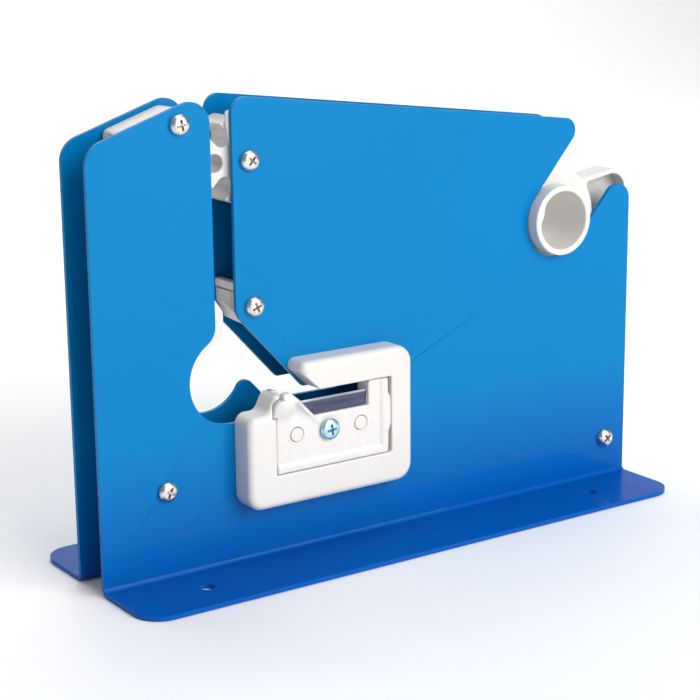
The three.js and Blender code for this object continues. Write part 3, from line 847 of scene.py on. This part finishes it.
def hub_clip():
    """An open ring in the tube's groove."""
    ring = turned("hub_clip_ring", [(5.6, 11.55), (5.6, 15.0), (6.7, 15.0), (6.7, 11.55)],
                  HUB_AXIS, spring_steel, count=96)
    cut(ring, block((HUB_AXIS.x - 5, 0, HUB_AXIS.y - 20), (HUB_AXIS.x + 5, 9, HUB_AXIS.y)))
    softened(ring, 0.12, segments=2)
    stands_for(ring, "hub", "spring_steel", "hub_clip")


def tongue(inset, start):
    """One tongue of the core wheel, pointing along +X from the hub axis."""
    def upper(x):
        return 9.5 + 0.171 * x - inset

    def lower(x):
        return -9.5 + 0.08 * x + inset

    right = 37.6 - inset
    return rounded([
        (start, lower(start)),
        (right, lower(right), 9 - inset),
        (right, upper(right), 7.5 - inset),
        (start, upper(start)),
    ], step=4.0)


def turned_about_hub(outline, degrees):
    """An outline drawn about the origin, put round the hub's axis."""
    turn = Matrix.Rotation(math.radians(degrees), 2)
    return [HUB_AXIS + turn @ p for p in outline]


def core_wheel():
    """Three tongues round a barrel that stands proud of them; each has a rim round a thin web."""
    front, back = COLLAR[1] + 0.25, 5.35
    wheel = turned("core_wheel_moulding", [
        (front, 12.55), (front, 17.5), (back, 17.5), (back, 12.55)], HUB_AXIS, white, count=96)
    for degrees in (0, 120, 240):
        arm = turned_about_hub(tongue(0, 14.5), degrees)
        recess = turned_about_hub(tongue(1.7, 18.1), degrees)
        joined(wheel, slab("arm", arm, front + 0.5, back - 0.5))
        cut(wheel, slab("recess", recess, front - 1, 1.0), slab("recess", recess, 2.4, back + 1))
    softened(wheel, 0.25, segments=3, dissolve=True)
    stands_for(wheel, "core", "white_plastic", "core_wheel")


hub_tube()
hub_clip()
core_wheel()


# ---- trimmer ----
TRIM_BACK = -OUTER - 0.05
TRIM_FRONT = -17.6
TRIM_FLOOR = TRIM_BACK - 2.0
INSERT_FRONT = TRIM_FRONT + 0.2
TRIM_SCREW = centre_of("trimmer_screw")
PEGS = (Vector((66.6, 42.9)), Vector((91.5, 42.7)))
PEG_HOLE = 2.45
SCREW_HOLE = 1.9
BLADE_LOW, BLADE_HIGH = (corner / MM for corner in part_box("trimmer_blade"))


def ramp(value, low, high):
    """0 below low and 1 above high, with a soft change between."""
    t = np.clip((value - low) / (high - low), 0.0, 1.0)
    return t * t * (3 - 2 * t)


def bump_at(x, z, centre, size, angle=0.0, power=2.0):
    """A soft round hill, 1 at its centre and nearly 0 one size away."""
    c, s = math.cos(math.radians(angle)), math.sin(math.radians(angle))
    u = ((x - centre[0]) * c + (z - centre[1]) * s) / size[0]
    v = (-(x - centre[0]) * s + (z - centre[1]) * c) / size[1]
    return np.exp(-((u * u + v * v) ** (power / 2)))


def distance_to_segment(x, z, a, b):
    """How far points are from a line from a to b, and how far along it is the nearest point."""
    dx, dz = b[0] - a[0], b[1] - a[1]
    t = np.clip(((x - a[0]) * dx + (z - a[1]) * dz) / (dx * dx + dz * dz), 0.0, 1.0)
    return np.hypot(x - a[0] - t * dx, z - a[1] - t * dz), t


def insert_height(x, z, depth):
    """The relief on the insert's front: its height above the insert's own face, in millimetres."""
    sunk_panel = ramp(z, 33.2, 33.9) * (1 - ramp(x, 99.2, 99.9))
    height = 0.25 - 0.55 * sunk_panel
    hood = bump_at(x, z, (61.8, 54.0), (4.4, 4.6), power=2.4)
    height += 1.9 * hood * ramp(z, 47.0, 50.5)
    # a slanted ridge that gets lower to the right, and a valley below its left end
    away, along = distance_to_segment(x, z, (66.2, 54.2), (75.2, 45.6))
    height += (1.2 - 0.9 * along) * np.exp(-(away / 0.75) ** 2)
    height -= bump_at(x, z, (66.9, 49.3), (2.9, 2.2), angle=-40)
    # a raised ring round each peg, and a dish round the screw
    for peg in PEGS:
        distance = np.hypot(x - peg.x, z - peg.y)
        height += 0.16 * np.exp(-((distance - 2.85) / 0.35) ** 2)
    distance = np.hypot(x - TRIM_SCREW.x, z - TRIM_SCREW.y)
    height -= 0.22 * (1 - ramp(distance, 4.2, 5.1))
    # the edges fall away
    rim = np.clip(depth, 0.0, 0.6) / 0.6
    height -= 0.5 * (1 - np.sqrt(1 - (1 - rim) ** 2))
    return height


def inside(points, polygon):
    """Which points lie in the polygon, as an array of booleans."""
    x, z = points[:, 0], points[:, 1]
    result = np.zeros(len(points), bool)
    count = len(polygon)
    for i in range(count):
        a, b = polygon[i], polygon[(i + 1) % count]
        if a[1] == b[1]:
            continue
        crosses = (a[1] > z) != (b[1] > z)
        at = (b[0] - a[0]) * (z - a[1]) / (b[1] - a[1]) + a[0]
        result ^= crosses & (x < at)
    return result


def depth_in(points, loops):
    """Each point's distance to the nearest of the loops."""
    best = np.full(len(points), 1e9)
    for loop in loops:
        for i, a in enumerate(loop):
            b = loop[(i + 1) % len(loop)]
            if (b[0] - a[0]) ** 2 + (b[1] - a[1]) ** 2 < 1e-12:
                continue
            best = np.minimum(best, distance_to_segment(points[:, 0], points[:, 1], a, b)[0])
    return best


def relief(name, outline, holes, height, y_front, y_back, spacing, material,
           steps=(0.08, 0.2, 0.36, 0.58)):
    """A plate with holes whose front face follows height(x, z, distance to the nearest edge).

    Rows of points follow every edge at the given steps, and a grid fills the rest.
    """
    loops = [resampled(outline, spacing)] + [resampled(hole, spacing) for hole in holes]
    arrays = [np.array([(p.x, p.y) for p in loop]) for loop in loops]

    def filled(points):
        keep = inside(points, arrays[0])
        for hole in arrays[1:]:
            keep &= ~inside(points, hole)
        return keep

    extra = []
    for loop in arrays:
        ahead = np.roll(loop, -1, axis=0) - np.roll(loop, 1, axis=0)
        normal = np.stack([-ahead[:, 1], ahead[:, 0]], 1)
        normal /= np.linalg.norm(normal, axis=1)[:, None] + 1e-12
        for step in steps:
            for side in (1, -1):
                ring = loop + side * step * normal
                ring = ring[filled(ring)]
                extra.append(ring[depth_in(ring, arrays) > 0.93 * step])
    low, high = arrays[0].min(0), arrays[0].max(0)
    grid = np.stack(np.meshgrid(np.arange(low[0], high[0], spacing * 0.85),
                                np.arange(low[1], high[1], spacing * 0.85)), -1).reshape(-1, 2)
    grid = grid[filled(grid)]
    extra.append(grid[depth_in(grid, arrays) > 1.25 * steps[-1]])
    points = [Vector(p) for loop in arrays for p in loop]
    edges = []
    start = 0
    for loop in arrays:
        edges += [(start + i, start + (i + 1) % len(loop)) for i in range(len(loop))]
        start += len(loop)
    points += [Vector(p) for ring in extra for p in ring]
    found, _, faces = delaunay_2d_cdt(points, edges, [], 0, 1e-4)[:3]
    flat = np.array([(p.x, p.y) for p in found])
    middles = np.array([flat[list(face)].mean(0) for face in faces])
    faces = [face for face, keep in zip(faces, filled(middles)) if keep]
    lift = height(flat[:, 0], flat[:, 1], depth_in(flat, arrays))
    bm = bmesh.new()
    front = [bm.verts.new(place(x, y_front - h, z)) for (x, z), h in zip(flat, lift)]
    back = {}
    for face in faces:
        bm.faces.new([front[i] for i in face])
        for i in face:
            if i not in back:
                back[i] = bm.verts.new(place(flat[i][0], y_back, flat[i][1]))
    for face in faces:
        bm.faces.new([back[i] for i in reversed(face)])
    index = {vert: i for i, vert in enumerate(front)}
    rim = [edge for edge in bm.edges if len(edge.link_faces) == 1 and edge.verts[0] in index
           and edge.verts[1] in index]
    for edge in rim:
        a, b = edge.verts
        bm.faces.new((a, b, back[index[b]], back[index[a]]))
    bmesh.ops.delete(bm, geom=[v for v in bm.verts if not v.link_faces], context="VERTS")
    piece = link(name, bm, material)
    crisp(piece, 50)
    return piece


def edge_drop(distance, radius):
    """How far a rounded edge has fallen at a distance from it."""
    t = np.clip(1 - distance / radius, 0.0, 1.0)
    return radius * (1 - np.sqrt(1 - t * t))


def trimmer_body():
    """A C-shaped frame, its outside edges well rounded and its window's edges only a little."""
    window = [(75.4, 56.6), (103.7, 56.6), (103.7, 30.6), (58.7, 30.6), (58.7, 49.3), (57.3, 49.3),
              (57.7, 56.2), (60.6, 55.9)]
    outside = [(60.6, 57.0), (58.6, 57.2), (55.6, 51.2), (48.4, 51.2), (48.4, 19.8), (112.4, 19.8),
               (112.4, 66.3), (68.7, 66.3), (68.7, 62.9), (75.4, 56.6)]
    radii = {(103.7, 56.6): 0.5, (103.7, 30.6): 1.0, (58.7, 30.6): 0.4, (57.7, 56.2): 3.2,
             (60.6, 57.0): 0.4, (58.6, 57.2): 2.0, (55.6, 51.2): 3, (48.4, 51.2): 3.5, (48.4, 19.8): 5,
             (112.4, 19.8): 6, (112.4, 66.3): 6, (68.7, 66.3): 2.5, (68.7, 62.9): 1.5, (75.4, 56.6): 0.8}
    outline = rounded([(*corner, radii.get(corner, 0.0)) for corner in window + outside[:-1]])
    # shell is the outline from the tip at the left of the opening on: the outside's edges come
    # first, and from the index last on they are the window's
    points = np.array([(p.x, p.y) for p in outline])
    first = int(np.argmin(np.hypot(points[:, 0] - 60.6, points[:, 1] - 56.4)))
    shell = np.roll(points, -first, axis=0)
    last = int(np.argmin(np.hypot(shell[:, 0] - 72.0, shell[:, 1] - 59.8)))
    outside_radius, window_radius, far = 2.2, 0.55, 9.0

    def height(x, z, _):
        to_window = np.full(len(x), far)
        to_outside = np.full(len(x), far)
        for i, a in enumerate(shell):
            b = shell[(i + 1) % len(shell)]
            if np.hypot(*(b - a)) < 1e-6:
                continue
            away = distance_to_segment(x, z, a, b)[0]
            if i < last:
                to_outside = np.minimum(to_outside, away)
            else:
                to_window = np.minimum(to_window, away)
        return -edge_drop(to_outside, outside_radius) - edge_drop(to_window, window_radius)

    body = relief("trimmer_body_frame", outline, [], height, TRIM_FRONT, TRIM_BACK, 0.9, white,
                  steps=(0.03, 0.1, 0.22, 0.4, 0.62, 0.9, 1.25, 1.7))
    stands_for(body, "base", "white_plastic", "trimmer_body")
    floor_outline = rounded([
        (50.4, 22), (110.4, 22), (110.4, 58), (103.6, 58), (103.6, 51.3), (66.8, 51.3, 1),
        (63.4, 56.8, 1.5), (59.4, 56.8, 2), (56.4, 50.8, 2)])
    floor = slab("trimmer_body_floor", floor_outline, TRIM_FLOOR, TRIM_BACK - 0.05, white)
    cut(floor, rod(SCREW_HOLE, TRIM_SCREW, TRIM_FLOOR - 1, TRIM_BACK + 1, 40))
    joined(floor, *[rod(2.3, peg, INSERT_FRONT + 0.15, TRIM_FLOOR + 0.5, 48) for peg in PEGS])
    softened(floor, 0.25, segments=3)
    stands_for(floor, "base", "white_plastic")


def trimmer_insert():
    """The insert that holds the blade: a relief in front of it and a plain slab round it."""
    blade_front, blade_back = BLADE_LOW.y, BLADE_HIGH.y
    front_outline = rounded([
        (59.0, 30.9, 0.3),
        (102.3, 30.9, 1.0),
        (102.5, 38.0, 2),
        (103.4, 40.5, 2),
        (103.4, 49.4, 2),
        (102.3, 51.6, 2),
        (102.3, 56.3, 0.4),
        (94.7, 56.3, 1.2),
        (94.7, 48.2),
        (73.4, 48.2),
        (67.8, 54.2, 2.5),
        (63.8, 57.4, 2.2),
        (60.9, 57.4, 1.0),
        (60.9, 55.4),
        (58.1, 55.6, 3.0),
        (57.7, 49.6),
        (59.0, 49.6),
    ], step=8.0)
    back_outline = rounded([
        (59.0, 30.9, 0.3),
        (102.3, 30.9, 1.0),
        (102.3, 56.3, 0.4),
        (94.7, 56.3, 1.2),
        (94.7, 51.6),
        (66.8, 51.6, 1),
        (62.8, 55.2, 1),
        (59.0, 52.2, 1.5),
    ])
    holes = [circle(peg, PEG_HOLE, 40) for peg in PEGS] + [circle(TRIM_SCREW, SCREW_HOLE, 36)]
    face = relief("trimmer_insert_face", front_outline, holes, insert_height,
                  INSERT_FRONT, blade_front - 0.05, 0.55, panel_white)
    stands_for(face, "base", "white_plastic", "trimmer_insert")
    holder = slab("trimmer_insert_back", back_outline, blade_front - 0.05, TRIM_FLOOR - 0.1, panel_white)
    blade_left = BLADE_LOW.x - LEFT
    blade_right = BLADE_HIGH.x - LEFT
    cut(holder,
        block((blade_left - 0.1, blade_front - 1, BLADE_LOW.z - 0.1),
              (blade_right + 0.1, blade_back + 0.05, 60)),
        rod(SCREW_HOLE, TRIM_SCREW, -20, -8, 40),
        *[rod(PEG_HOLE, peg, -20, -8, 48) for peg in PEGS])
    crisp(holder, 30)
    stands_for(holder, "base", "white_plastic")


def trimmer_screw():
    screw = pan_head("trimmer_screw_template", 3.6, 1.6, 1.72, 14.2, cyan_zinc)
    placed_screw(screw, "trimmer_screw", TRIM_SCREW, INSERT_FRONT - SEAT, -1, 8)
    bpy.data.objects.remove(screw)


trimmer_body()
trimmer_insert()
trimmer_screw()


# ---- stage ----
def floor_material():
    shader = Shader("pale_floor", Roughness=0.55)
    shader.colour(shader.ramp(shader.noise(3.0), [(0.3, (0.925, 0.925, 0.93)), (0.7, (0.94, 0.94, 0.945))]))
    return shader.material


def add_floor():
    """A bench, in metres, that bends up into a backdrop; the part's feet stand just clear of it."""
    bm = bmesh.new()
    size, back, rise, bend, gap = 3.0, 1.6, 2.2, 0.6, 0.0002
    profile = [(-size, 0.0), (back - bend, 0.0)]
    for i in range(1, 13):
        angle = i / 12 * math.pi / 2
        profile.append((back - bend + bend * math.sin(angle), bend - bend * math.cos(angle)))
    profile.append((back, rise))
    sides = [[bm.verts.new((x, y, z - gap)) for y, z in profile] for x in (-size, size)]
    for i in range(len(profile) - 1):
        bm.faces.new((sides[0][i], sides[1][i], sides[1][i + 1], sides[0][i + 1]))
    floor = link("floor", bm, floor_material())
    floor.data.shade_smooth()


def area_light(name, position, target, size, watts):
    data = bpy.data.lights.new(name, "AREA")
    data.shape = "RECTANGLE"
    data.size, data.size_y = size
    data.energy = watts
    light = add_object(name, data)
    direction = Vector(target) - Vector(position)
    light.matrix_world = (Matrix.Translation(position)
                          @ direction.to_track_quat("-Z", "Y").to_matrix().to_4x4())


def add_world(strength):
    world = bpy.data.worlds.new("studio")
    bpy.context.scene.world = world
    world.use_nodes = True
    background = world.node_tree.nodes["Background"]
    background.inputs["Color"].default_value = (1.0, 1.0, 1.0, 1.0)
    background.inputs["Strength"].default_value = strength


add_floor()
add_world(0.27)
area_light("key", (0.36, -1.5, 0.8), (0.0, 0.0, 0.08), (1.5, 1.3), 28.5)
area_light("top", (0.1, -0.2, 1.5), (0.0, 0.0, 0.0), (1.2, 1.2), 6)
area_light("backdrop", (0.3, 0.8, 1.5), (0.6, 1.6, 0.3), (1.8, 0.6), 16)

bpy.context.scene.view_settings.view_transform = "Standard"
